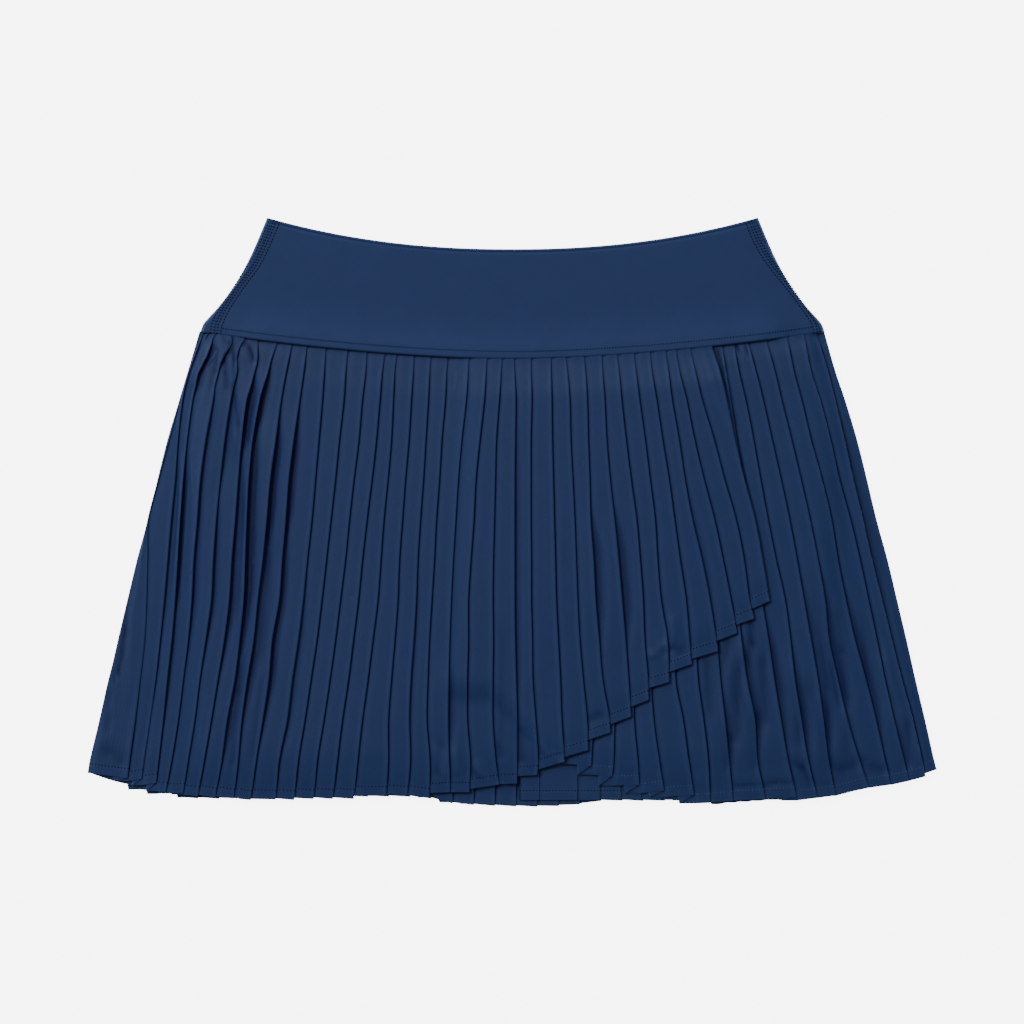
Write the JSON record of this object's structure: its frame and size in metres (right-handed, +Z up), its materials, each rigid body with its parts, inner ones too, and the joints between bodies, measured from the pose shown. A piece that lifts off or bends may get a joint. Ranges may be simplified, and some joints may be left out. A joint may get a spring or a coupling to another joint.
{
  "type": "pleated yoga skort",
  "caption": "Pleated yoga skort laid flat: wide contoured waistband, knife-pleated back and wrapped tulip front panels, plain inner shorts.",
  "frame": {"origin": "on the surface it lies on, under the middle of the laid-out garment", "axes": "+X across the garment to the right as seen from above, +Y from the hem towards the waist, +Z up from the surface"},
  "size_m": [0.554, 0.3846, 0.0115],
  "materials": {
    "band_knit": "smooth navy stretch knit, matte with a soft sheen",
    "pleated_knit": "smooth navy knit with heat-set knife pleats, matte with a soft sheen",
    "shorts_knit": "plain navy stretch knit, matte"
  },
  "bodies": {
    "root": {"waistband_front": "band_knit", "waistband_back": "band_knit", "skirt_back": "pleated_knit", "skirt_front_under": "pleated_knit", "skirt_front_over": "pleated_knit", "shorts_back": "shorts_knit", "shorts_front": "shorts_knit"}
  },
  "joints": []
}
